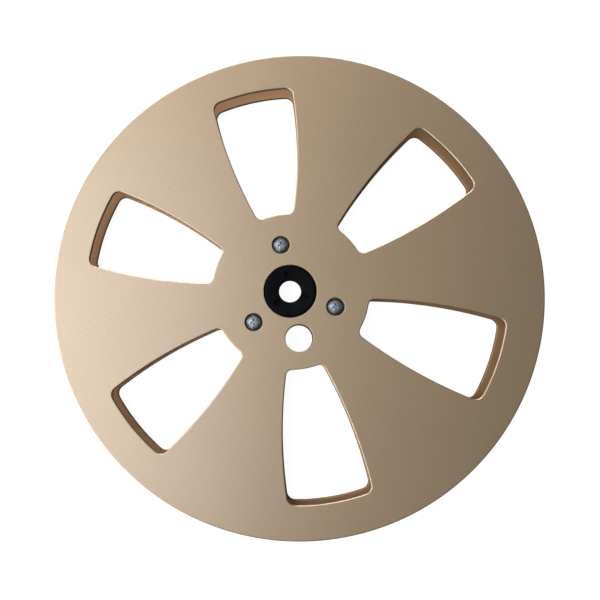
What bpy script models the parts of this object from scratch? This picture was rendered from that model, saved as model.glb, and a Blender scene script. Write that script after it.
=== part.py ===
"""A flat-flanged film reel, lying on its rear flange.

Metres, +Z up. The origin is the centre of the rear flange's outer face, and the reel's axis is +Z.
Two flanges are clamped to a moulded hub by three screws a side, which meet in brass inserts.
"""

from math import acos, asin, atan2, cos, pi, radians, sin

import bmesh
import bpy
from mathutils import Matrix, Vector

# Driving dimensions
REEL_RADIUS = 0.0890
FLANGE_THICKNESS = 0.0014
FILM_GAP = 0.0082
HUB_RADIUS = 0.0280
SPINDLE_RADIUS = 0.0040
CLEARANCE = 0.0003

REEL_WIDTH = 2 * FLANGE_THICKNESS + FILM_GAP
HUB_HALF_WIDTH = FILM_GAP / 2 - CLEARANCE

# Flange edges
RIM_CHAMFER = 0.0004
EDGE_CHAMFER = 0.0003

# Windows: two arcs about the reel's axis, joined by two bulging sides
WINDOW_COUNT = 6
WINDOW_OUTER = 0.860 * REEL_RADIUS
WINDOW_INNER = HUB_RADIUS + EDGE_CHAMFER + CLEARANCE
SIDE_RADIUS = 0.1637
SIDE_CENTRE = (-0.1485, 0.0804)
OUTER_CORNER = 0.0030
INNER_CORNER = 0.0024

# Screws, each with its domed head sunk in a flat-bottomed seat, and the drive hole between two
SCREW_CIRCLE = 0.0174
SCREW_ANGLES = [radians(angle) for angle in (90, 210, 330)]
SCREW_RADIUS = 0.0015
SCREW_LENGTH = 0.0050
TIP_CHAMFER = 0.0003
HEAD_RADIUS = 0.0030
HEAD_HEIGHT = 0.0008
CROWN_HEIGHT = 0.0006
CROWN_POWER = 2.2
DRIVE_HOLE_ANGLE = radians(270)
DRIVE_HOLE_RADIUS = 0.0050

# The cross recess in a screw's head
RECESS_REACH = 0.0015
RECESS_HALF_ARM = 0.0004
RECESS_TAPER = 0.55
RECESS_DEPTH = 0.0012

# Threaded inserts
INSERT_RADIUS = 0.0028
INSERT_BORE = SCREW_RADIUS + CLEARANCE
INSERT_GROOVE = 0.0004

# Spindle bush: its collar is held between the flanges, its ends fill their bores, and the spindle hole
# goes through a web at the front, with a wider counterbore behind it
BORE_RADIUS = 0.0097
BUSH_RADIUS = BORE_RADIUS - CLEARANCE
BUSH_HALF_WIDTH = REEL_WIDTH / 2 - 0.0003
BUSH_CHAMFER = 0.0003
COLLAR_RADIUS = 0.0110
DISH_EDGE = 0.0084
DISH_DEPTH = 0.0005
BORE_CHAMFER = 0.0004
WEB_DEPTH = 0.0026
COUNTERBORE_RADIUS = 0.0052
SLOT_REACH = 0.0073
SLOT_WIDTH = 0.0018
FRONT_SLOT_DEPTH = 0.0012
REAR_SLOT_DEPTH = 0.0030

# Hub: pockets as (centre angle, half angle) in degrees, and the slot for the film's end
POCKET_INNER = 0.0132
POCKET_OUTER = 0.0252
POCKET_CORNER = 0.0012
POCKETS = ((0, 10), (60, 10), (120, 10), (180, 10), (236, 3), (304, 3))
FILM_SLOT_ANGLE = radians(150)
FILM_SLOT_WIDTH = 0.0016
FILM_SLOT_DEPTH = 0.0022

RIM_STEPS = 144
BORE_STEPS = 48
HOLE_STEPS = 32
SMALL_STEPS = 24
AXIS = (0.0, 0.0)


def polar(radius, angle, centre=AXIS):
    return Vector((centre[0] + radius * cos(angle), centre[1] + radius * sin(angle)))


def arc(centre, radius, start, end, steps):
    """Points along an arc, both ends included, going the short way round."""
    sweep = (end - start + pi) % (2 * pi) - pi
    return [polar(radius, start + sweep * i / steps, centre) for i in range(steps + 1)]


def circle(radius, steps, centre=AXIS):
    return [polar(radius, 2 * pi * i / steps, centre) for i in range(steps)]


def direction(start, end):
    return atan2(end[1] - start[1], end[0] - start[0])


def circles_cross(first, first_radius, second, second_radius):
    """The crossing of two circles that lies furthest towards +X."""
    offset = Vector(second) - Vector(first)
    along = (first_radius**2 - second_radius**2 + offset.length_squared) / (2 * offset.length)
    swing = acos(along / first_radius)
    toward = direction(first, second)
    crossings = [polar(first_radius, toward + turn, first) for turn in (swing, -swing)]
    return max(crossings, key=lambda point: point.x)


def whole_outline(half, angle):
    """Adds the mirror image of a half outline drawn at +X of the Y axis, and turns both to angle."""
    mirrored = [Vector((-point.x, point.y)) for point in reversed(half)]
    turn = Matrix.Rotation(angle - pi / 2, 2)
    return [turn @ point for point in half + mirrored[1:-1]]


def window_outline(angle, grow=0.0):
    """A window centred on angle, widened by grow."""
    outer, inner = WINDOW_OUTER + grow, WINDOW_INNER - grow
    bulge = SIDE_RADIUS + grow
    top_corner, low_corner = OUTER_CORNER + grow, INNER_CORNER + grow
    top = circles_cross(AXIS, outer - top_corner, SIDE_CENTRE, bulge - top_corner)
    low = circles_cross(AXIS, inner + low_corner, SIDE_CENTRE, bulge - low_corner)
    to_top, to_low = direction(SIDE_CENTRE, top), direction(SIDE_CENTRE, low)
    half = arc(AXIS, inner, pi / 2, direction(AXIS, low), 4)[:-1]
    half += arc(low, low_corner, direction(low, AXIS), to_low, 4)
    half += arc(SIDE_CENTRE, bulge, to_low, to_top, 8)[1:-1]
    half += arc(top, top_corner, to_top, direction(AXIS, top), 5)
    half += arc(AXIS, outer, direction(AXIS, top), pi / 2, 7)[1:]
    return whole_outline(half, angle)


def pocket_outline(angle, half_angle):
    """A pocket between two circles about the axis, with rounded corners."""
    side = pi / 2 - half_angle
    low, top = polar(POCKET_INNER + POCKET_CORNER, side), polar(POCKET_OUTER - POCKET_CORNER, side)
    half = arc(AXIS, POCKET_INNER, pi / 2, side, 3)[:-1]
    half += arc(low, POCKET_CORNER, side + pi, side - pi / 2, 4)
    half += arc(top, POCKET_CORNER, side - pi / 2, side, 4)
    half += arc(AXIS, POCKET_OUTER, side, pi / 2, 4)[1:]
    return whole_outline(half, angle)


def drum_outline():
    """The hub's outer circle, with a radial slot for the film's end."""
    half_slot = asin(FILM_SLOT_WIDTH / 2 / HUB_RADIUS)
    start, sweep = FILM_SLOT_ANGLE + half_slot, 2 * (pi - half_slot)
    steps = RIM_STEPS // 2
    outline = [polar(HUB_RADIUS, start + sweep * i / steps) for i in range(steps + 1)]
    into_hub = polar(-FILM_SLOT_DEPTH, FILM_SLOT_ANGLE)
    return outline + [outline[-1] + into_hub, outline[0] + into_hub]


def add_stack(bm, stack):
    """Adds the wall through a stack of (outline, height) rings, and returns its end edges."""
    rings = [[bm.verts.new((x, y, height)) for x, y in outline] for outline, height in stack]
    for upper, lower in zip(rings, rings[1:]):
        for i in range(len(upper)):
            bm.faces.new((upper[i - 1], upper[i], lower[i], lower[i - 1]))
    ends = (rings[0], rings[-1])
    return [[bm.edges.get((ring[i - 1], ring[i])) for i in range(len(ring))] for ring in ends]


def plate_mesh(name, stacks):
    """A flat piece whose rim and holes are stacks of rings, from its top face to its bottom face."""
    bm = bmesh.new()
    ends = [add_stack(bm, stack) for stack in stacks]
    for face in (0, 1):
        edges = [edge for end in ends for edge in end[face]]
        bmesh.ops.triangle_fill(bm, edges=edges, use_beauty=True)
    return finished_mesh(bm, name)


def turned_mesh(name, profile, steps, ring=False):
    """Turns (radius, height) points about Z. A ring's profile is closed and stays off the axis."""
    bm = bmesh.new()
    verts = [bm.verts.new((radius, 0.0, height)) for radius, height in profile]
    pairs = list(zip(verts, verts[1:])) + ([(verts[-1], verts[0])] if ring else [])
    edges = [bm.edges.new(pair) for pair in pairs]
    bmesh.ops.spin(
        bm, geom=verts + edges, axis=(0, 0, 1), cent=(0, 0, 0), angle=2 * pi, steps=steps
    )
    bmesh.ops.remove_doubles(bm, verts=bm.verts, dist=1e-6)
    return finished_mesh(bm, name)


def finished_mesh(bm, name):
    bmesh.ops.recalc_face_normals(bm, faces=bm.faces)
    mesh = bpy.data.meshes.new(name)
    bm.to_mesh(mesh)
    bm.free()
    mesh.shade_smooth()
    mesh.set_sharp_from_angle(angle=radians(30))
    return mesh


def material(name, colour, metallic, roughness):
    made = bpy.data.materials.new(name)
    made.use_nodes = True
    shader = made.node_tree.nodes["Principled BSDF"]
    shader.inputs["Base Color"].default_value = (*colour, 1.0)
    shader.inputs["Metallic"].default_value = metallic
    shader.inputs["Roughness"].default_value = roughness
    return made


def place(name, mesh, parent, location=(0, 0, 0), rear=False):
    """Puts a mesh in the scene. A rear piece is turned over about the Y axis."""
    obj = bpy.data.objects.new(name, mesh)
    bpy.context.collection.objects.link(obj)
    obj.location = location
    obj.rotation_euler = (0, pi if rear else 0, 0)
    obj.parent = parent
    return obj


def cut(obj, cutter_mesh):
    """Cuts a mesh from an object, both drawn about the object's own origin."""
    cutter = bpy.data.objects.new(obj.name + ".cutter", cutter_mesh)
    bpy.context.collection.objects.link(cutter)
    cutter.parent = obj
    cutter.hide_render = True
    cutter.display_type = "WIRE"
    boolean = obj.modifiers.new("cut", "BOOLEAN")
    boolean.operation = "DIFFERENCE"
    boolean.object = cutter


def chamfered_hole(outline_at):
    """A flange hole with a chamfer at the outer face. outline_at(grow) gives its outline."""
    return [
        (outline_at(EDGE_CHAMFER), 0.0),
        (outline_at(0.0), -EDGE_CHAMFER),
        (outline_at(0.0), -FLANGE_THICKNESS),
    ]


def screw_hole(angle):
    """A sunk seat for a screw's head, and the hole for its shank, with an even clearance."""
    centre = polar(SCREW_CIRCLE, angle)
    seat = circle(HEAD_RADIUS + CLEARANCE, SMALL_STEPS, centre)
    shank = circle(SCREW_RADIUS + CLEARANCE, SMALL_STEPS, centre)
    floor = -HEAD_HEIGHT - CLEARANCE
    return [(seat, 0.0), (seat, floor), (shank, floor), (shank, -FLANGE_THICKNESS)]


def flange_mesh():
    """A flange with its outer face up, at height 0."""
    rim = circle(REEL_RADIUS, RIM_STEPS)
    narrow_rim = circle(REEL_RADIUS - RIM_CHAMFER, RIM_STEPS)
    drive_hole = polar(SCREW_CIRCLE, DRIVE_HOLE_ANGLE)
    stacks = [
        [
            (narrow_rim, 0.0),
            (rim, -RIM_CHAMFER),
            (rim, RIM_CHAMFER - FLANGE_THICKNESS),
            (narrow_rim, -FLANGE_THICKNESS),
        ],
        chamfered_hole(lambda grow: circle(BORE_RADIUS + grow, BORE_STEPS)),
        chamfered_hole(lambda grow: circle(DRIVE_HOLE_RADIUS + grow, HOLE_STEPS, drive_hole)),
    ]
    for i in range(WINDOW_COUNT):
        angle = pi / 2 + 2 * pi * i / WINDOW_COUNT
        stacks.append(chamfered_hole(lambda grow: window_outline(angle, grow)))
    stacks += [screw_hole(angle) for angle in SCREW_ANGLES]
    return plate_mesh("flange", stacks)


def hub_mesh():
    """The hub's drum, about its own middle."""

    def through(outline):
        return [(outline, HUB_HALF_WIDTH), (outline, -HUB_HALF_WIDTH)]

    insert_hole = INSERT_RADIUS + CLEARANCE
    stacks = [through(drum_outline())]
    stacks.append(through(circle(COLLAR_RADIUS + CLEARANCE, BORE_STEPS)))
    drive_hole = polar(SCREW_CIRCLE, DRIVE_HOLE_ANGLE)
    stacks.append(through(circle(DRIVE_HOLE_RADIUS, HOLE_STEPS, drive_hole)))
    for angle in SCREW_ANGLES:
        stacks.append(through(circle(insert_hole, SMALL_STEPS, polar(SCREW_CIRCLE, angle))))
    for angle, half_angle in POCKETS:
        stacks.append(through(pocket_outline(radians(angle), radians(half_angle))))
    return plate_mesh("hub", stacks)


def insert_mesh():
    """A brass insert about its own middle, with a groove that keys it into the hub."""
    groove = HUB_HALF_WIDTH / 4
    waist = INSERT_RADIUS - INSERT_GROOVE
    outside = [
        (INSERT_RADIUS, HUB_HALF_WIDTH),
        (INSERT_RADIUS, groove),
        (waist, groove),
        (waist, -groove),
        (INSERT_RADIUS, -groove),
        (INSERT_RADIUS, -HUB_HALF_WIDTH),
    ]
    bore = [(INSERT_BORE, -HUB_HALF_WIDTH), (INSERT_BORE, HUB_HALF_WIDTH)]
    return turned_mesh("insert", outside + bore, SMALL_STEPS, ring=True)


def bush_mesh():
    """The spindle bush about its own middle: a collar between two dished ends, and the web."""

    def end(hole_radius):
        return [
            (hole_radius, BUSH_HALF_WIDTH - DISH_DEPTH - BORE_CHAMFER),
            (hole_radius + BORE_CHAMFER, BUSH_HALF_WIDTH - DISH_DEPTH),
            (DISH_EDGE, BUSH_HALF_WIDTH),
            (BUSH_RADIUS - BUSH_CHAMFER, BUSH_HALF_WIDTH),
            (BUSH_RADIUS, BUSH_HALF_WIDTH - BUSH_CHAMFER),
            (BUSH_RADIUS, HUB_HALF_WIDTH),
            (COLLAR_RADIUS, HUB_HALF_WIDTH),
        ]

    rear = [(radius, -height) for radius, height in reversed(end(COUNTERBORE_RADIUS))]
    web_back = BUSH_HALF_WIDTH - WEB_DEPTH
    web = [(COUNTERBORE_RADIUS, web_back), (SPINDLE_RADIUS, web_back)]
    return turned_mesh("bush", end(SPINDLE_RADIUS) + rear + web, BORE_STEPS, ring=True)


def slots_mesh():
    """Cutters for the drive slots in both ends of the bush."""
    bm = bmesh.new()
    length = SLOT_REACH - SPINDLE_RADIUS / 2
    for angle in SCREW_ANGLES:
        for end, depth in ((1, FRONT_SLOT_DEPTH), (-1, REAR_SLOT_DEPTH)):
            middle = Vector((SLOT_REACH - length / 2, 0, end * BUSH_HALF_WIDTH))
            matrix = Matrix.Rotation(angle, 4, "Z") @ Matrix.Translation(middle)
            matrix @= Matrix.Diagonal((length, SLOT_WIDTH, 2 * depth, 1))
            bmesh.ops.create_cube(bm, size=1, matrix=matrix)
    return finished_mesh(bm, "slots")


def screw_mesh():
    """A screw with its crown at height 0 and its shank down."""
    steps = 5
    shares = [i / steps for i in range(steps + 1)]
    crown = [(HEAD_RADIUS * share, -CROWN_HEIGHT * share**CROWN_POWER) for share in shares]
    body = [
        (HEAD_RADIUS, -HEAD_HEIGHT),
        (SCREW_RADIUS, -HEAD_HEIGHT),
        (SCREW_RADIUS, TIP_CHAMFER - SCREW_LENGTH),
        (SCREW_RADIUS - TIP_CHAMFER, -SCREW_LENGTH),
        (0.0, -SCREW_LENGTH),
    ]
    return turned_mesh("screw", crown + body, SMALL_STEPS)


def cross_outline(scale):
    """A plus sign, scaled about its middle."""
    reach, half_arm = RECESS_REACH * scale, RECESS_HALF_ARM * scale
    arm = [Vector((reach, -half_arm)), Vector((reach, half_arm)), Vector((half_arm, half_arm))]
    turns = [Matrix.Rotation(i * pi / 2, 2) for i in range(4)]
    return [turn @ point for turn in turns for point in arm]


def recess_mesh():
    """Cutter for a screw's cross recess, narrower at its floor."""
    mouth, floor = cross_outline(1.0), cross_outline(RECESS_TAPER)
    return plate_mesh("recess", [[(mouth, RECESS_DEPTH / 2), (floor, -RECESS_DEPTH)]])


def main():
    for obj in list(bpy.data.objects):
        bpy.data.objects.remove(obj)

    champagne = material("champagne_anodised", (0.62, 0.47, 0.34), 1.0, 0.42)
    black_plastic = material("black_moulded_plastic", (0.02, 0.02, 0.022), 0.0, 0.45)
    black_turned = material("black_turned_plastic", (0.012, 0.012, 0.015), 0.0, 0.32)
    dark_steel = material("blackened_steel", (0.16, 0.18, 0.20), 1.0, 0.35)
    brass = material("brass", (0.80, 0.62, 0.30), 1.0, 0.35)

    reel = place("reel", None, None)
    middle = (0, 0, REEL_WIDTH / 2)

    flange = flange_mesh()
    flange.materials.append(champagne)
    place("front_flange", flange, reel, (0, 0, REEL_WIDTH))
    place("rear_flange", flange, reel, rear=True)

    hub = hub_mesh()
    hub.materials.append(black_plastic)
    place("hub_core", hub, reel, middle)

    bush = bush_mesh()
    bush.materials.append(black_turned)
    cut(place("spindle_bush", bush, reel, middle), slots_mesh())

    insert, screw, recess = insert_mesh(), screw_mesh(), recess_mesh()
    insert.materials.append(brass)
    screw.materials.append(dark_steel)
    for number, angle in enumerate(SCREW_ANGLES, 1):
        x, y = polar(SCREW_CIRCLE, angle)
        place(f"screw_insert_{number}", insert, reel, (x, y, REEL_WIDTH / 2))
        cut(place(f"front_screw_{number}", screw, reel, (x, y, REEL_WIDTH)), recess)
        cut(place(f"rear_screw_{number}", screw, reel, (x, y, 0), rear=True), recess)


main()
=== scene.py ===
"""Looks for the film reel: its finely edged pieces, their materials, and the studio round them."""

from collections import namedtuple
from math import acos, asin, atan2, cos, pi, radians, sin

import bmesh
import bpy
from mathutils import Matrix, Vector


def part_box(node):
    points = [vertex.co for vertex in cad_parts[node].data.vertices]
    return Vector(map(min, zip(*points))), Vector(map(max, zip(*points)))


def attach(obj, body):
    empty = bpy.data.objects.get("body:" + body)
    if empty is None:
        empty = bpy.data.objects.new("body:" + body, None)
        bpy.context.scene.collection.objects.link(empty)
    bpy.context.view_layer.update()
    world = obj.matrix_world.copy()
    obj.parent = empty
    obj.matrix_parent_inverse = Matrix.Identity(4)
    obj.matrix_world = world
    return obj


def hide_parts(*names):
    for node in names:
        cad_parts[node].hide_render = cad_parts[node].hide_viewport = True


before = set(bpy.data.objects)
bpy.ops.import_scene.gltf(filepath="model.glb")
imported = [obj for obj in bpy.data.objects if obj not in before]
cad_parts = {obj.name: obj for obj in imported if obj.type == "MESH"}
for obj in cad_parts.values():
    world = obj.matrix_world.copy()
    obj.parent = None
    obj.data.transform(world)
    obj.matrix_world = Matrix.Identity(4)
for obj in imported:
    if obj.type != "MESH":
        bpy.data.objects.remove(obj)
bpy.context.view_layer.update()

MM = 0.001

# Sizes that the parts in model.glb give
FLANGE_LOW, FLANGE_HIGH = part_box("front_flange")
HUB_LOW, HUB_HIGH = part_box("hub_core")
BUSH_LOW, BUSH_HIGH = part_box("spindle_bush")
SCREW_LOW, SCREW_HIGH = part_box("front_screw_1")
REEL_RADIUS = FLANGE_HIGH.x
REEL_WIDTH = FLANGE_HIGH.z
FLANGE_THICKNESS = FLANGE_HIGH.z - FLANGE_LOW.z
HUB_RADIUS = HUB_HIGH.x
HUB_HALF_WIDTH = (HUB_HIGH.z - HUB_LOW.z) / 2
COLLAR_RADIUS = BUSH_HIGH.x
BUSH_HALF_WIDTH = (BUSH_HIGH.z - BUSH_LOW.z) / 2
HEAD_RADIUS = SCREW_HIGH.x
SCREW_LENGTH = SCREW_HIGH.z - SCREW_LOW.z
SCREW_CIRCLE = (SCREW_LOW.y + SCREW_HIGH.y) / 2

# Sizes that it doesn't, as in the CAD source
CLEARANCE = 0.3 * MM
WINDOW_COUNT = 6
WINDOW_OUTER = 0.860 * REEL_RADIUS
WINDOW_INNER = HUB_RADIUS + 0.6 * MM
SIDE_RADIUS = 163.7 * MM
SIDE_CENTRE = (-148.5 * MM, 80.4 * MM)
OUTER_CORNER = 3.0 * MM
INNER_CORNER = 2.4 * MM
BORE_RADIUS = 9.7 * MM
DRIVE_HOLE_RADIUS = 5.0 * MM
DRIVE_HOLE_ANGLE = radians(270)
SCREW_ANGLES = [radians(angle) for angle in (90, 210, 330)]
SCREW_RADIUS = 1.5 * MM
HEAD_HEIGHT = 0.8 * MM
CROWN_HEIGHT = 0.6 * MM
CROWN_POWER = 2.2
RECESS_REACH = 1.5 * MM
RECESS_HALF_ARM = 0.4 * MM
RECESS_TAPER = 0.55
RECESS_DEPTH = 1.2 * MM
INSERT_HOLE = 3.1 * MM
SPINDLE_RADIUS = 4.0 * MM
DISH_EDGE = 8.4 * MM
DISH_DEPTH = 0.5 * MM
WEB_DEPTH = 2.6 * MM
COUNTERBORE_RADIUS = 5.2 * MM
SLOT_REACH = 7.3 * MM
SLOT_WIDTH = 1.8 * MM
FRONT_SLOT_DEPTH = 1.2 * MM
REAR_SLOT_DEPTH = 3.0 * MM
POCKET_INNER = 13.2 * MM
POCKET_OUTER = 25.2 * MM
POCKET_CORNER = 1.2 * MM
POCKETS = ((0, 10), (60, 10), (120, 10), (180, 10), (236, 3), (304, 3))
FILM_SLOT_ANGLE = radians(150)
FILM_SLOT_WIDTH = 1.6 * MM
FILM_SLOT_DEPTH = 2.2 * MM

# Edges: a chamfer has a small round at each of its ends and a flat guard strip beside it, and a cut
# slot or recess has only a round. EDGE is the attribute that marks a chamfer.
WINDOW_CHAMFER = 0.22 * MM
HOLE_CHAMFER = 0.08 * MM
BACK_CHAMFER = 0.10 * MM
RIM_CHAMFER = 0.25 * MM
EDGE_ROUND = 0.05 * MM
GUARD = 0.20 * MM
SLOT_ROUND = 0.06 * MM
RECESS_ROUND = 0.04 * MM
ROUND_SEGMENTS = 2
SHARP_ANGLE = radians(40)
EDGE = "edge"

# Turned detail: ring grooves in the bush, and the screws' thread
GROOVE_COUNT = 6
GROOVE_DEPTH = 0.03 * MM
GROOVE_HALF_WIDTH = 0.08 * MM
BUSH_CHAMFER = 0.3 * MM
BORE_CHAMFER = 0.4 * MM
THREAD_PITCH = 0.5 * MM
THREAD_DEPTH = 0.12 * MM
TIP_CHAMFER = 0.3 * MM

# Steps round a circle, along a screw's crown, and along each arc of an outline in drawing order
RIM_STEPS = 360
BORE_STEPS = 120
HOLE_STEPS = 72
CROWN_STEPS = 14
WINDOW_STEPS = (10, 10, 30, 12, 16)
POCKET_STEPS = (6, 8, 8, 8)
FLOOR_STEPS = (12, 24)

AXIS = (0.0, 0.0)
MERGE_DISTANCE = 0.001 * MM

# Camera
CAMERA_PLACE = Vector((-3.6, -22.6, 247.4)) * MM
CAMERA_AIM = Vector((-24.0, 1.3, 11.0)) * MM
CAMERA_ROLL = radians(10.4)
CAMERA_LENS = 38.86
CAMERA_SHIFT = 0.125
CAMERA_NEAR = 10 * MM

# Light: each softbox's azimuth and elevation in degrees, distance and size in metres, and watts,
# then the strength of the glow that the room and the floor have of their own
SOFTBOXES = {
    "key": (171.7, 57.0, 1.28, 1.20, 13.9),
    "low_top": (95.0, 18.0, 0.90, 0.40, 8.0),
    "low_left": (165.0, 18.0, 0.90, 0.40, 4.2),
    "low_side": (210.0, 18.0, 0.90, 0.40, 3.1),
}
ROOM_GLOW = 0.08
FLOOR_GLOW = 0.96
WHITE = (1.0, 1.0, 1.0, 1.0)
FLOOR_COLOUR = (0.16, 0.16, 0.16, 1.0)
FLOOR_RADIUS = 3.0
COVE_RADIUS = 1.0
FLOOR_GAP = 0.1 * MM

# Champagne anodising: dyed metal under a clear satin layer, which is thinner on the flanges' inner
# faces. A pair of colours or roughnesses is what the grain or a blotch varies between.
CHAMPAGNE = ((0.357, 0.261, 0.162), (0.429, 0.314, 0.195))
# The inner faces' colour is painted: browner and more saturated, for the light that bounces and is shaded
# between the flanges.
CHAMPAGNE_PAINTED_INNER_BOUNCE = (0.480, 0.290, 0.155)
CHAMPAGNE_EDGE = (0.60, 0.47, 0.33)
CHAMPAGNE_CLOUD = (-0.12, 0.12)
CHAMPAGNE_ROUGHNESS = (0.59, 0.68)
COAT_ROUGHNESS = 0.333
COAT_IOR = 1.93
INNER_COAT = 0.5
EDGE_WEAR = (0.1, 0.6)
EDGE_POLISH = 0.2

# The other materials
MOULDING = ((0.007, 0.007, 0.008), (0.013, 0.013, 0.015))
MOULDING_EDGE = (0.030, 0.030, 0.033)
MOULDING_ROUGHNESS = (0.38, 0.55)
TURNED_BLACK = ((0.0010, 0.0012, 0.0020), (0.0030, 0.0034, 0.0050))
TURNED_ROUGHNESS = (0.48, 0.62)
TURNING_PITCH = 0.22 * MM
# STEEL runs from a painted dark rim shade to a painted pale highlight in the middle of a screw's head,
# with random patches on top.
STEEL = ((0.055, 0.067, 0.077), (0.42, 0.49, 0.53))
STEEL_CLOUD = (-0.35, 0.35)
STEEL_ROUGHNESS = (0.42, 0.60)
# How far from a screw's axis the painted highlight fades into the painted rim shade.
PAINTED_HIGHLIGHT_REACH = (0.1 * HEAD_RADIUS, 0.9 * HEAD_RADIUS)
BRASS = ((0.70, 0.52, 0.25), (0.82, 0.64, 0.34))
BRASS_ROUGHNESS = (0.26, 0.42)
PAPER_ROUGHNESS = (0.7, 0.8)


# Outlines


def polar(radius, angle, centre=AXIS):
    return Vector((centre[0] + radius * cos(angle), centre[1] + radius * sin(angle)))


def arc(centre, radius, start, end, steps):
    """Points along an arc, both ends included, going the short way round."""
    sweep = (end - start + pi) % (2 * pi) - pi
    return [polar(radius, start + sweep * i / steps, centre) for i in range(steps + 1)]


def circle(radius, steps, centre=AXIS):
    return [polar(radius, 2 * pi * i / steps, centre) for i in range(steps)]


def direction(start, end):
    return atan2(end[1] - start[1], end[0] - start[0])


def circles_cross(first, first_radius, second, second_radius):
    """The crossing of two circles that lies furthest towards +X."""
    offset = Vector(second) - Vector(first)
    along = (first_radius**2 - second_radius**2 + offset.length_squared) / (2 * offset.length)
    swing = acos(along / first_radius)
    toward = direction(first, second)
    crossings = [polar(first_radius, toward + turn, first) for turn in (swing, -swing)]
    return max(crossings, key=lambda point: point.x)


def whole_outline(half, angle):
    """Adds the mirror image of a half outline drawn at +X of the Y axis, and turns both to angle."""
    mirrored = [Vector((-point.x, point.y)) for point in reversed(half)]
    turn = Matrix.Rotation(angle - pi / 2, 2)
    return [turn @ point for point in half + mirrored[1:-1]]


def window_outline(angle, grow=0.0):
    """A window centred on angle, widened by grow."""
    outer, inner = WINDOW_OUTER + grow, WINDOW_INNER - grow
    bulge = SIDE_RADIUS + grow
    top_corner, low_corner = OUTER_CORNER + grow, INNER_CORNER + grow
    top = circles_cross(AXIS, outer - top_corner, SIDE_CENTRE, bulge - top_corner)
    low = circles_cross(AXIS, inner + low_corner, SIDE_CENTRE, bulge - low_corner)
    to_top, to_low = direction(SIDE_CENTRE, top), direction(SIDE_CENTRE, low)
    inner_steps, low_steps, side_steps, top_steps, outer_steps = WINDOW_STEPS
    half = arc(AXIS, inner, pi / 2, direction(AXIS, low), inner_steps)[:-1]
    half += arc(low, low_corner, direction(low, AXIS), to_low, low_steps)
    half += arc(SIDE_CENTRE, bulge, to_low, to_top, side_steps)[1:-1]
    half += arc(top, top_corner, to_top, direction(AXIS, top), top_steps)
    half += arc(AXIS, outer, direction(AXIS, top), pi / 2, outer_steps)[1:]
    return whole_outline(half, angle)


def pocket_outline(angle, half_angle, grow=0.0):
    """A pocket between two circles about the axis, with rounded corners, widened by grow."""
    corner = POCKET_CORNER + grow
    side = pi / 2 - half_angle
    low = polar(POCKET_INNER + POCKET_CORNER, side)
    top = polar(POCKET_OUTER - POCKET_CORNER, side)
    inner_steps, low_steps, top_steps, outer_steps = POCKET_STEPS
    half = arc(AXIS, POCKET_INNER - grow, pi / 2, side, inner_steps)[:-1]
    half += arc(low, corner, side + pi, side - pi / 2, low_steps)
    half += arc(top, corner, side - pi / 2, side, top_steps)
    half += arc(AXIS, POCKET_OUTER + grow, side, pi / 2, outer_steps)[1:]
    return whole_outline(half, angle)


def drum_outline(grow=0.0):
    """The hub's outer circle, with a radial slot for the film's end. A positive grow makes it smaller."""
    radius, half_width = HUB_RADIUS - grow, FILM_SLOT_WIDTH / 2 + grow
    half_slot = asin(half_width / radius)
    start, sweep = FILM_SLOT_ANGLE + half_slot, 2 * (pi - half_slot)
    outline = [polar(radius, start + sweep * i / RIM_STEPS) for i in range(RIM_STEPS + 1)]
    into_hub = polar(-FILM_SLOT_DEPTH, FILM_SLOT_ANGLE)
    return outline + [outline[-1] + into_hub, outline[0] + into_hub]


def cross_outline(scale):
    """A plus sign, scaled about its middle."""
    reach, half_arm = RECESS_REACH * scale, RECESS_HALF_ARM * scale
    arm = [Vector((reach, -half_arm)), Vector((reach, half_arm)), Vector((half_arm, half_arm))]
    turns = [Matrix.Rotation(i * pi / 2, 2) for i in range(4)]
    return [turn @ point for turn in turns for point in arm]


# Meshes

Ring = namedtuple("Ring", "outline height edge", defaults=(0.0,))


def edge_rings(outline_at, height, chamfer, down):
    """The rings from a face, over a chamfered edge, to the wall. down is -1 on a top face, 1 below."""
    steps = (
        (chamfer + EDGE_ROUND + GUARD, 0.0, 0.0),
        (chamfer + EDGE_ROUND, 0.0, 0.0),
        (chamfer - EDGE_ROUND, EDGE_ROUND, 1.0),
        (EDGE_ROUND, chamfer - EDGE_ROUND, 1.0),
        (0.0, chamfer + EDGE_ROUND, 0.0),
        (0.0, chamfer + EDGE_ROUND + GUARD, 0.0),
    )
    return [Ring(outline_at(grow), height + down * depth, edge) for grow, depth, edge in steps]


def edged_stack(outline_at, top, bottom, top_chamfer, bottom_chamfer):
    """A wall from one face to the other, with a chamfered edge at each."""
    upper = edge_rings(outline_at, top, top_chamfer, -1)
    lower = edge_rings(outline_at, bottom, bottom_chamfer, 1)
    return upper + lower[::-1]


def add_stack(bm, stack):
    """Adds the wall through a stack of rings, and returns its end edges."""
    layer = bm.verts.layers.float[EDGE]
    rings = []
    for outline, height, edge in stack:
        rings.append([bm.verts.new((x, y, height)) for x, y in outline])
        for vert in rings[-1]:
            vert[layer] = edge
    for upper, lower in zip(rings, rings[1:]):
        for i in range(len(upper)):
            bm.faces.new((upper[i - 1], upper[i], lower[i], lower[i - 1]))
    ends = (rings[0], rings[-1])
    return [[bm.edges.get((ring[i - 1], ring[i])) for i in range(len(ring))] for ring in ends]


def plate_mesh(name, stacks):
    """A flat piece whose rim and holes are stacks of rings, from its top face to its bottom face."""
    bm = bmesh.new()
    bm.verts.layers.float.new(EDGE)
    ends = [add_stack(bm, stack) for stack in stacks]
    for face in (0, 1):
        edges = [edge for end in ends for edge in end[face]]
        bmesh.ops.triangle_fill(bm, edges=edges, use_beauty=True)
    return finished_mesh(bm, name)


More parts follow.
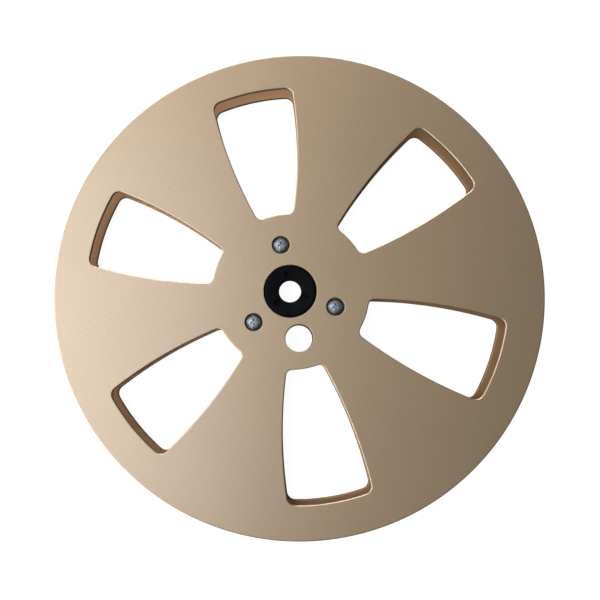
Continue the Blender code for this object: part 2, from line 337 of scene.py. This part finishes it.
def turned_mesh(name, profile, steps, ring=False):
    """Turns (radius, height) points about Z. A ring's profile is closed and stays off the axis."""
    bm = bmesh.new()
    verts = [bm.verts.new((radius, 0.0, height)) for radius, height in profile]
    pairs = list(zip(verts, verts[1:])) + ([(verts[-1], verts[0])] if ring else [])
    edges = [bm.edges.new(pair) for pair in pairs]
    bmesh.ops.spin(
        bm, geom=verts + edges, axis=(0, 0, 1), cent=(0, 0, 0), angle=2 * pi, steps=steps
    )
    bmesh.ops.remove_doubles(bm, verts=bm.verts, dist=MERGE_DISTANCE)
    return finished_mesh(bm, name)


def finished_mesh(bm, name):
    bmesh.ops.recalc_face_normals(bm, faces=bm.faces)
    mesh = bpy.data.meshes.new(name)
    bm.to_mesh(mesh)
    bm.free()
    mesh.shade_smooth()
    return mesh


def cut_mesh(mesh, cutter, edge_width):
    """A mesh with a cutter taken out of it and its sharp edges rounded."""
    body, tool = (bpy.data.objects.new(each.name, each) for each in (mesh, cutter))
    for obj in (body, tool):
        bpy.context.scene.collection.objects.link(obj)
    body.modifiers.new("cut", "BOOLEAN").object = tool
    rounding = body.modifiers.new("edges", "BEVEL")
    rounding.width = edge_width
    rounding.segments = ROUND_SEGMENTS
    rounding.limit_method = "ANGLE"
    rounding.angle_limit = SHARP_ANGLE
    rounding.harden_normals = True
    graph = bpy.context.evaluated_depsgraph_get()
    made = bpy.data.meshes.new_from_object(body.evaluated_get(graph), depsgraph=graph)
    for obj in (body, tool):
        bpy.data.objects.remove(obj)
    return made


def flange_mesh():
    """A flange with its outer face up, at height 0."""
    bottom = -FLANGE_THICKNESS

    def hole(outline_at, chamfer=HOLE_CHAMFER):
        return edged_stack(outline_at, 0.0, bottom, chamfer, BACK_CHAMFER)

    def rim(grow):
        return circle(REEL_RADIUS - grow, RIM_STEPS)

    drive_hole = polar(SCREW_CIRCLE, DRIVE_HOLE_ANGLE)
    stacks = [
        edged_stack(rim, 0.0, bottom, RIM_CHAMFER, RIM_CHAMFER),
        hole(lambda grow: circle(BORE_RADIUS + grow, BORE_STEPS)),
        hole(lambda grow: circle(DRIVE_HOLE_RADIUS + grow, HOLE_STEPS, drive_hole)),
    ]
    for i in range(WINDOW_COUNT):
        angle = pi / 2 + 2 * pi * i / WINDOW_COUNT
        stacks.append(hole(lambda grow: window_outline(angle, grow), WINDOW_CHAMFER))
    seat, shank = HEAD_RADIUS + CLEARANCE, SCREW_RADIUS + CLEARANCE
    floor = -HEAD_HEIGHT - CLEARANCE
    steps = (
        (seat + EDGE_ROUND + GUARD, 0.0),
        (seat + EDGE_ROUND, 0.0),
        (seat, -EDGE_ROUND),
        (seat, floor),
        (shank, floor),
        (shank, bottom),
    )
    for angle in SCREW_ANGLES:
        centre = polar(SCREW_CIRCLE, angle)
        stacks.append([Ring(circle(radius, HOLE_STEPS, centre), height) for radius, height in steps])
    return plate_mesh("flange", stacks)


def hub_mesh():
    """The hub's drum, about its own middle."""

    def through(outline_at):
        return edged_stack(outline_at, HUB_HALF_WIDTH, -HUB_HALF_WIDTH, BACK_CHAMFER, BACK_CHAMFER)

    drive_hole = polar(SCREW_CIRCLE, DRIVE_HOLE_ANGLE)
    stacks = [
        through(drum_outline),
        through(lambda grow: circle(COLLAR_RADIUS + CLEARANCE + grow, BORE_STEPS)),
        through(lambda grow: circle(DRIVE_HOLE_RADIUS + grow, HOLE_STEPS, drive_hole)),
    ]
    for angle in SCREW_ANGLES:
        centre = polar(SCREW_CIRCLE, angle)
        stacks.append(through(lambda grow: circle(INSERT_HOLE + grow, HOLE_STEPS, centre)))
    for angle, half_angle in POCKETS:
        turn, half = radians(angle), radians(half_angle)
        stacks.append(through(lambda grow: pocket_outline(turn, half, grow)))
    return plate_mesh("hub", stacks)


def bush_mesh():
    """The spindle bush about its own middle: a collar, two dished ends with turned rings, and the web."""
    bush_radius = BORE_RADIUS - CLEARANCE

    def end(hole_radius):
        dish_start = hole_radius + BORE_CHAMFER
        dish_width = DISH_EDGE - dish_start

        def on_dish(radius, depth=0.0):
            share = (DISH_EDGE - radius) / dish_width
            return (radius, BUSH_HALF_WIDTH - DISH_DEPTH * share - depth)

        grooves = []
        for i in range(GROOVE_COUNT):
            radius = dish_start + dish_width * (i + 0.5) / GROOVE_COUNT
            grooves += [
                on_dish(radius - GROOVE_HALF_WIDTH),
                on_dish(radius, GROOVE_DEPTH),
                on_dish(radius + GROOVE_HALF_WIDTH),
            ]
        return [
            (hole_radius, BUSH_HALF_WIDTH - DISH_DEPTH - BORE_CHAMFER),
            on_dish(dish_start),
            *grooves,
            on_dish(DISH_EDGE),
            (DISH_EDGE + EDGE_ROUND, BUSH_HALF_WIDTH),
            (bush_radius - BUSH_CHAMFER, BUSH_HALF_WIDTH),
            (bush_radius - BUSH_CHAMFER / 3, BUSH_HALF_WIDTH - BUSH_CHAMFER / 3),
            (bush_radius, BUSH_HALF_WIDTH - BUSH_CHAMFER),
            (bush_radius, HUB_HALF_WIDTH),
            (COLLAR_RADIUS - BUSH_CHAMFER, HUB_HALF_WIDTH),
            (COLLAR_RADIUS, HUB_HALF_WIDTH - BUSH_CHAMFER),
        ]

    rear = [(radius, -height) for radius, height in reversed(end(COUNTERBORE_RADIUS))]
    web_back = BUSH_HALF_WIDTH - WEB_DEPTH
    web = [
        (COUNTERBORE_RADIUS, web_back - EDGE_ROUND),
        (COUNTERBORE_RADIUS - EDGE_ROUND, web_back),
        (SPINDLE_RADIUS + EDGE_ROUND, web_back),
        (SPINDLE_RADIUS, web_back + EDGE_ROUND),
    ]
    whole = turned_mesh("bush", end(SPINDLE_RADIUS) + rear + web, BORE_STEPS, ring=True)
    return cut_mesh(whole, slots_mesh(), SLOT_ROUND)


def slots_mesh():
    """Cutters for the drive slots in both ends of the bush."""
    bm = bmesh.new()
    length = SLOT_REACH - SPINDLE_RADIUS / 2
    for angle in SCREW_ANGLES:
        for end, depth in ((1, FRONT_SLOT_DEPTH), (-1, REAR_SLOT_DEPTH)):
            middle = Vector((SLOT_REACH - length / 2, 0, end * BUSH_HALF_WIDTH))
            matrix = Matrix.Rotation(angle, 4, "Z") @ Matrix.Translation(middle)
            matrix @= Matrix.Diagonal((length, SLOT_WIDTH, 2 * depth, 1))
            bmesh.ops.create_cube(bm, size=1, matrix=matrix)
    return finished_mesh(bm, "slots")


def screw_mesh():
    """A screw with its domed, cross-recessed head at height 0 and its threaded shank down."""
    shares = [i / CROWN_STEPS for i in range(CROWN_STEPS + 1)]
    crown = [(HEAD_RADIUS * share, -CROWN_HEIGHT * share**CROWN_POWER) for share in shares]
    crown[-1] = (HEAD_RADIUS - EDGE_ROUND, crown[-1][1])
    head = [
        (HEAD_RADIUS, -CROWN_HEIGHT - EDGE_ROUND),
        (HEAD_RADIUS, -HEAD_HEIGHT + EDGE_ROUND),
        (HEAD_RADIUS - EDGE_ROUND, -HEAD_HEIGHT),
        (SCREW_RADIUS, -HEAD_HEIGHT),
    ]
    threads = []
    thread_top = HEAD_HEIGHT + THREAD_PITCH
    for i in range(int((SCREW_LENGTH - TIP_CHAMFER - thread_top) / THREAD_PITCH)):
        depth = thread_top + i * THREAD_PITCH
        threads += [
            (SCREW_RADIUS, -depth),
            (SCREW_RADIUS - THREAD_DEPTH, -depth - THREAD_PITCH / 2),
        ]
    tip = [
        (SCREW_RADIUS, TIP_CHAMFER - SCREW_LENGTH),
        (SCREW_RADIUS - TIP_CHAMFER, -SCREW_LENGTH),
        (0.0, -SCREW_LENGTH),
    ]
    mouth, floor = cross_outline(1.0), cross_outline(RECESS_TAPER)
    recess = [Ring(mouth, RECESS_DEPTH / 2), Ring(floor, -RECESS_DEPTH)]
    whole = turned_mesh("screw", crown + head + threads + tip, HOLE_STEPS)
    return cut_mesh(whole, plate_mesh("recess", [recess]), RECESS_ROUND)


# Materials


class Surface:
    """A Principled material whose texture nodes read the object's own coordinates, in metres."""

    def __init__(self, name, **values):
        self.material = bpy.data.materials.new(name)
        self.material.use_nodes = True
        self.tree = self.material.node_tree
        self.shader = self.tree.nodes["Principled BSDF"]
        for socket, value in values.items():
            self.shader.inputs[socket.replace("_", " ")].default_value = value
        self.place = self.add("ShaderNodeTexCoord").outputs["Object"]
        self.normal = None

    def add(self, kind, **settings):
        node = self.tree.nodes.new(kind)
        for name, value in settings.items():
            setattr(node, name, value)
        return node

    def link(self, output, socket):
        self.tree.links.new(output, socket)

    def to(self, name, output):
        self.link(output, self.shader.inputs[name])

    def noise(self, size, detail=3.0, roughness=0.5):
        """Noise whose blotches are about size metres across."""
        node = self.add("ShaderNodeTexNoise")
        node.inputs["Scale"].default_value = 1 / size
        node.inputs["Detail"].default_value = detail
        node.inputs["Roughness"].default_value = roughness
        self.link(self.place, node.inputs["Vector"])
        return node.outputs["Fac"]

    def spread(self, value, low, high, start=0.3, end=0.7):
        """Maps a value from start..end, which by default suits noise, to low..high."""
        node = self.add("ShaderNodeMapRange")
        limits = {"From Min": start, "From Max": end, "To Min": low, "To Max": high}
        for name, number in limits.items():
            node.inputs[name].default_value = number
        self.link(value, node.inputs["Value"])
        return node.outputs["Result"]

    def maths(self, operation, *values):
        node = self.add("ShaderNodeMath", operation=operation)
        for socket, value in zip(node.inputs, values):
            if isinstance(value, (int, float)):
                socket.default_value = value
            else:
                self.link(value, socket)
        return node.outputs["Value"]

    def blend(self, factor, first, second):
        """A colour between two, each a tuple or a socket."""
        node = self.add("ShaderNodeMix", data_type="RGBA")
        factor_in, first_in, second_in = node.inputs[0], node.inputs[6], node.inputs[7]
        self.link(factor, factor_in)
        for socket, colour in ((first_in, first), (second_in, second)):
            if isinstance(colour, tuple):
                socket.default_value = (*colour, 1.0)
            else:
                self.link(colour, socket)
        return node.outputs[2]

    def bump(self, height, distance, strength):
        """Adds a bump on top of those already there."""
        node = self.add("ShaderNodeBump")
        node.inputs["Distance"].default_value = distance
        node.inputs["Strength"].default_value = strength
        self.link(height, node.inputs["Height"])
        if self.normal:
            self.link(self.normal, node.inputs["Normal"])
        self.normal = node.outputs["Normal"]
        self.to("Normal", self.normal)
        self.to("Coat Normal", self.normal)

    def radius(self):
        """Distance from the object's own Z axis."""
        flat = self.add("ShaderNodeVectorMath", operation="MULTIPLY")
        flat.inputs[1].default_value = (1, 1, 0)
        self.link(self.place, flat.inputs[0])
        length = self.add("ShaderNodeVectorMath", operation="LENGTH")
        self.link(flat.outputs["Vector"], length.inputs[0])
        return length.outputs["Value"]

    def height(self):
        """Height along the object's own Z axis."""
        split = self.add("ShaderNodeSeparateXYZ")
        self.link(self.place, split.inputs[0])
        return split.outputs["Z"]

    def edge(self):
        """1 on a chamfer, 0 elsewhere."""
        return self.add("ShaderNodeAttribute", attribute_name=EDGE).outputs["Fac"]


def champagne_aluminium():
    """Specked and faintly clouded metal, duller inside and painted browner there for the light bounced
    and shaded between the flanges, with paler and smoother chamfers.
    """
    surface = Surface(
        "champagne_anodised",
        Metallic=1.0,
        Coat_Roughness=COAT_ROUGHNESS,
        Coat_IOR=COAT_IOR,
    )
    inside = surface.spread(surface.height(), 1.0, 0.0, -FLANGE_THICKNESS, -FLANGE_THICKNESS / 3)
    cloud = surface.spread(surface.noise(35 * MM), *CHAMPAGNE_CLOUD)
    speck = surface.spread(surface.noise(0.8 * MM, detail=4.0, roughness=0.75), 0.0, 1.0)
    colour = surface.blend(surface.maths("ADD", speck, cloud), *CHAMPAGNE)
    grain = surface.noise(0.35 * MM, roughness=0.65)
    # Painted bounce light and shade: the flanges' inner faces get a browner, more saturated colour.
    colour = surface.blend(inside, colour, CHAMPAGNE_PAINTED_INNER_BOUNCE)
    wear = surface.spread(surface.noise(5 * MM, detail=4.0), *EDGE_WEAR)
    worn = surface.maths("MULTIPLY", surface.edge(), wear)
    surface.to("Base Color", surface.blend(worn, colour, CHAMPAGNE_EDGE))
    surface.to("Coat Weight", surface.spread(inside, 1.0, INNER_COAT, 0.0, 1.0))
    satin = surface.spread(grain, *CHAMPAGNE_ROUGHNESS)
    polish = surface.maths("MULTIPLY", worn, EDGE_POLISH)
    surface.to("Roughness", surface.maths("SUBTRACT", satin, polish))
    surface.bump(surface.noise(30 * MM, detail=2.0), distance=0.04 * MM, strength=0.5)
    surface.bump(grain, distance=0.03 * MM, strength=0.6)
    return surface.material


def black_moulding():
    surface = Surface("black_moulded_plastic", Specular_IOR_Level=0.35)
    cloud = surface.spread(surface.noise(12 * MM), 0.0, 1.0)
    colour = surface.blend(cloud, *MOULDING)
    surface.to("Base Color", surface.blend(surface.edge(), colour, MOULDING_EDGE))
    grain = surface.noise(0.4 * MM, roughness=0.6)
    surface.to("Roughness", surface.spread(grain, *MOULDING_ROUGHNESS))
    surface.bump(grain, distance=0.03 * MM, strength=0.5)
    return surface.material


def black_turned():
    """Black plastic with fine turning marks round its axis, and a little dust."""
    surface = Surface("black_turned_plastic", Specular_IOR_Level=0.05)
    cloud = surface.spread(surface.noise(4 * MM), 0.0, 1.0)
    surface.to("Base Color", surface.blend(cloud, *TURNED_BLACK))
    phase = surface.maths("MULTIPLY", surface.radius(), 2 * pi / TURNING_PITCH)
    turns = surface.maths("SINE", phase)
    dust = surface.noise(0.5 * MM, roughness=0.7)
    surface.to("Roughness", surface.spread(dust, *TURNED_ROUGHNESS))
    surface.bump(turns, distance=0.006 * MM, strength=0.5)
    surface.bump(dust, distance=0.02 * MM, strength=0.4)
    return surface.material


def dark_steel():
    """Blackened steel, painted paler towards the middle of a screw's head as a highlight and darker at
    its rim as shade.
    """
    surface = Surface("blackened_steel", Metallic=1.0)
    patch = surface.spread(surface.noise(1.6 * MM, roughness=0.6), *STEEL_CLOUD)
    # Painted highlight: paler towards the middle of the head, and darker at the rim as painted shade.
    painted_highlight = surface.spread(surface.radius(), 1.0, 0.0, *PAINTED_HIGHLIGHT_REACH)
    shade = surface.maths("ADD", painted_highlight, patch)
    surface.to("Base Color", surface.blend(shade, *STEEL))
    grain = surface.noise(0.25 * MM, roughness=0.6)
    surface.to("Roughness", surface.spread(grain, *STEEL_ROUGHNESS))
    surface.bump(grain, distance=0.02 * MM, strength=0.5)
    return surface.material


def turned_brass():
    surface = Surface("turned_brass", Metallic=1.0)
    patch = surface.spread(surface.noise(2 * MM), 0.0, 1.0)
    surface.to("Base Color", surface.blend(patch, *BRASS))
    grain = surface.noise(0.3 * MM, roughness=0.6)
    surface.to("Roughness", surface.spread(grain, *BRASS_ROUGHNESS))
    surface.bump(grain, distance=0.02 * MM, strength=0.5)
    return surface.material


def pale_paper():
    surface = Surface(
        "pale_paper",
        Base_Color=FLOOR_COLOUR,
        Specular_IOR_Level=0.1,
        Emission_Color=WHITE,
        Emission_Strength=FLOOR_GLOW,
    )
    surface.to("Roughness", surface.spread(surface.noise(2 * MM), *PAPER_ROUGHNESS))
    return surface.material


# The reel


def piece(name, mesh, material, location=(0, 0, 0), rear=False):
    """A piece that stands for the CAD node of its name. A rear piece is turned over about the Y axis."""
    obj = bpy.data.objects.new(name + "_fine", mesh)
    bpy.context.scene.collection.objects.link(obj)
    obj.location = location
    obj.rotation_euler = (0, pi if rear else 0, 0)
    mesh.materials.clear()
    mesh.materials.append(material)
    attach(obj, "root")
    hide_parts(name)


def make_reel():
    middle = (0, 0, REEL_WIDTH / 2)
    flange, champagne = flange_mesh(), champagne_aluminium()
    piece("front_flange", flange, champagne, (0, 0, REEL_WIDTH))
    piece("rear_flange", flange, champagne, rear=True)
    piece("hub_core", hub_mesh(), black_moulding(), middle)
    piece("spindle_bush", bush_mesh(), black_turned(), middle)
    screw, steel, brass = screw_mesh(), dark_steel(), turned_brass()
    for number, angle in enumerate(SCREW_ANGLES, 1):
        x, y = polar(SCREW_CIRCLE, angle)
        piece(f"front_screw_{number}", screw, steel, (x, y, REEL_WIDTH))
        piece(f"rear_screw_{number}", screw, steel, (x, y, 0), rear=True)
        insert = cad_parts[f"screw_insert_{number}"].data
        insert.materials.clear()
        insert.materials.append(brass)


# The studio


def make_floor():
    """A pale floor that curves up into a dome, and throws no light on the reel."""
    cove_steps, dome_steps = FLOOR_STEPS
    cove = arc((FLOOR_RADIUS, COVE_RADIUS), COVE_RADIUS, -pi / 2, 0, cove_steps)
    dome = arc((0, COVE_RADIUS), FLOOR_RADIUS + COVE_RADIUS, 0, pi / 2, dome_steps)
    mesh = turned_mesh("floor", [AXIS, *cove, *dome[1:]], BORE_STEPS)
    floor = bpy.data.objects.new("floor", mesh)
    bpy.context.scene.collection.objects.link(floor)
    floor.location.z = -FLOOR_GAP
    floor.visible_diffuse = False
    floor.visible_glossy = False
    floor.data.materials.append(pale_paper())


def make_light():
    scene = bpy.context.scene
    scene.view_settings.view_transform = "Standard"
    scene.world = bpy.data.worlds.new("room")
    scene.world.use_nodes = True
    background = scene.world.node_tree.nodes["Background"]
    background.inputs["Color"].default_value = WHITE
    background.inputs["Strength"].default_value = ROOM_GLOW
    for name, (azimuth, elevation, distance, size, power) in SOFTBOXES.items():
        light = bpy.data.lights.new(name, "AREA")
        light.shape = "SQUARE"
        light.size = size
        light.energy = power
        obj = bpy.data.objects.new(name, light)
        scene.collection.objects.link(obj)
        across = polar(distance * cos(radians(elevation)), radians(azimuth))
        obj.location = (*across, distance * sin(radians(elevation)))
        obj.rotation_euler = obj.location.to_track_quat("Z", "Y").to_euler()
        obj.visible_camera = False


def make_camera():
    forward = (CAMERA_AIM - CAMERA_PLACE).normalized()
    up = Vector((sin(CAMERA_ROLL), cos(CAMERA_ROLL), 0))
    right = forward.cross(up).normalized()
    camera = bpy.data.objects.new("camera", bpy.data.cameras.new("camera"))
    bpy.context.scene.collection.objects.link(camera)
    axes = Matrix((right, right.cross(forward), -forward)).transposed()
    camera.matrix_world = Matrix.Translation(CAMERA_PLACE) @ axes.to_4x4()
    camera.data.lens = CAMERA_LENS
    camera.data.shift_x = CAMERA_SHIFT
    camera.data.clip_start = CAMERA_NEAR
    bpy.context.scene.camera = camera


make_reel()
make_floor()
make_light()
make_camera()
